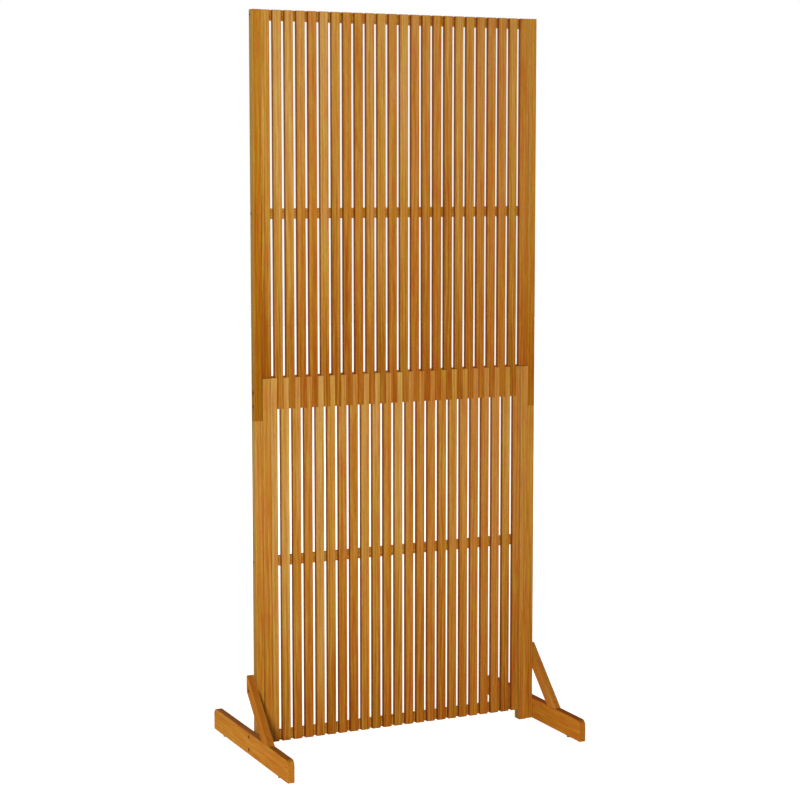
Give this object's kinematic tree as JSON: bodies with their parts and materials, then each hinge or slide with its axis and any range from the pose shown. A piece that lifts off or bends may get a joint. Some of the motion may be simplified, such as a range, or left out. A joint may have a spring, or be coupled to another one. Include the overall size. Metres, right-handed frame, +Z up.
{
  "type": "garden privacy screen",
  "caption": "Free-standing wooden garden screen: two panels of upright slats bolted one above the other, held by flat feet with slanting braces.",
  "frame": {"origin": "on the ground, midway between the two feet and at the middle of their length", "axes": "+X across the screen, to the right seen from the front; +Y from the front to the back; +Z up"},
  "size_m": [0.8, 0.5, 1.8],
  "materials": {
    "brace_wood": "planed hardwood, oiled, with fine grain along the piece",
    "foot_wood": "planed hardwood, oiled, with fine grain along the piece",
    "glide_plastic": "black moulded polyethylene, matt",
    "lower_slat_wood": "planed hardwood, oiled, with fine grain along the piece",
    "post_wood": "planed hardwood, oiled, with fine grain along the piece",
    "rail_wood": "planed hardwood, oiled, with fine grain along the piece",
    "screw_steel": "browned steel with a dull zinc coat",
    "upper_post_wood": "planed hardwood, oiled, with fine grain along the piece",
    "upper_slat_wood": "planed hardwood, oiled, with fine grain along the piece"
  },
  "bodies": {
    "root": {"bottom_rail": "rail_wood", "brace_left": "brace_wood", "brace_right": "brace_wood", "brace_screws": "screw_steel", "filler_strip_left": "post_wood", "filler_strip_right": "post_wood", "foot_bolts": "screw_steel", "foot_left": "foot_wood", "foot_right": "foot_wood", "glides": "glide_plastic", "inner_post_left": "post_wood", "inner_post_right": "post_wood", "joint_bolts": "screw_steel", "joint_rail": "rail_wood", "lower_edge_slat_left": "lower_slat_wood", "lower_edge_slat_right": "lower_slat_wood", "lower_middle_rail": "rail_wood", "lower_slat_11": "lower_slat_wood", "lower_slats_01_02": "lower_slat_wood", "lower_slats_03_04": "lower_slat_wood", "lower_slats_05_06": "lower_slat_wood", "lower_slats_07_08": "lower_slat_wood", "lower_slats_09_10": "lower_slat_wood", "lower_slats_12_13": "lower_slat_wood", "lower_slats_14_15": "lower_slat_wood", "lower_slats_16_17": "lower_slat_wood", "lower_slats_18_19": "lower_slat_wood", "lower_slats_20_21": "lower_slat_wood", "lower_top_rail": "rail_wood", "rail_screws": "screw_steel", "strip_screws": "screw_steel", "top_rail": "rail_wood", "upper_edge_slat_left": "upper_slat_wood", "upper_edge_slat_right": "upper_slat_wood", "upper_middle_rail": "rail_wood", "upper_post_left": "upper_post_wood", "upper_post_right": "upper_post_wood", "upper_slat_01": "upper_slat_wood", "upper_slat_02": "upper_slat_wood", "upper_slat_03": "upper_slat_wood", "upper_slat_04": "upper_slat_wood", "upper_slat_05": "upper_slat_wood", "upper_slat_06": "upper_slat_wood", "upper_slat_07": "upper_slat_wood", "upper_slat_08": "upper_slat_wood", "upper_slat_09": "upper_slat_wood", "upper_slat_10": "upper_slat_wood", "upper_slat_11": "upper_slat_wood", "upper_slat_12": "upper_slat_wood", "upper_slat_13": "upper_slat_wood", "upper_slat_14": "upper_slat_wood", "upper_slat_15": "upper_slat_wood", "upper_slat_16": "upper_slat_wood", "upper_slat_17": "upper_slat_wood", "upper_slat_18": "upper_slat_wood", "upper_slat_19": "upper_slat_wood", "upper_slat_20": "upper_slat_wood", "upper_slat_21": "upper_slat_wood", "upper_slat_22": "upper_slat_wood"}
  },
  "joints": []
}
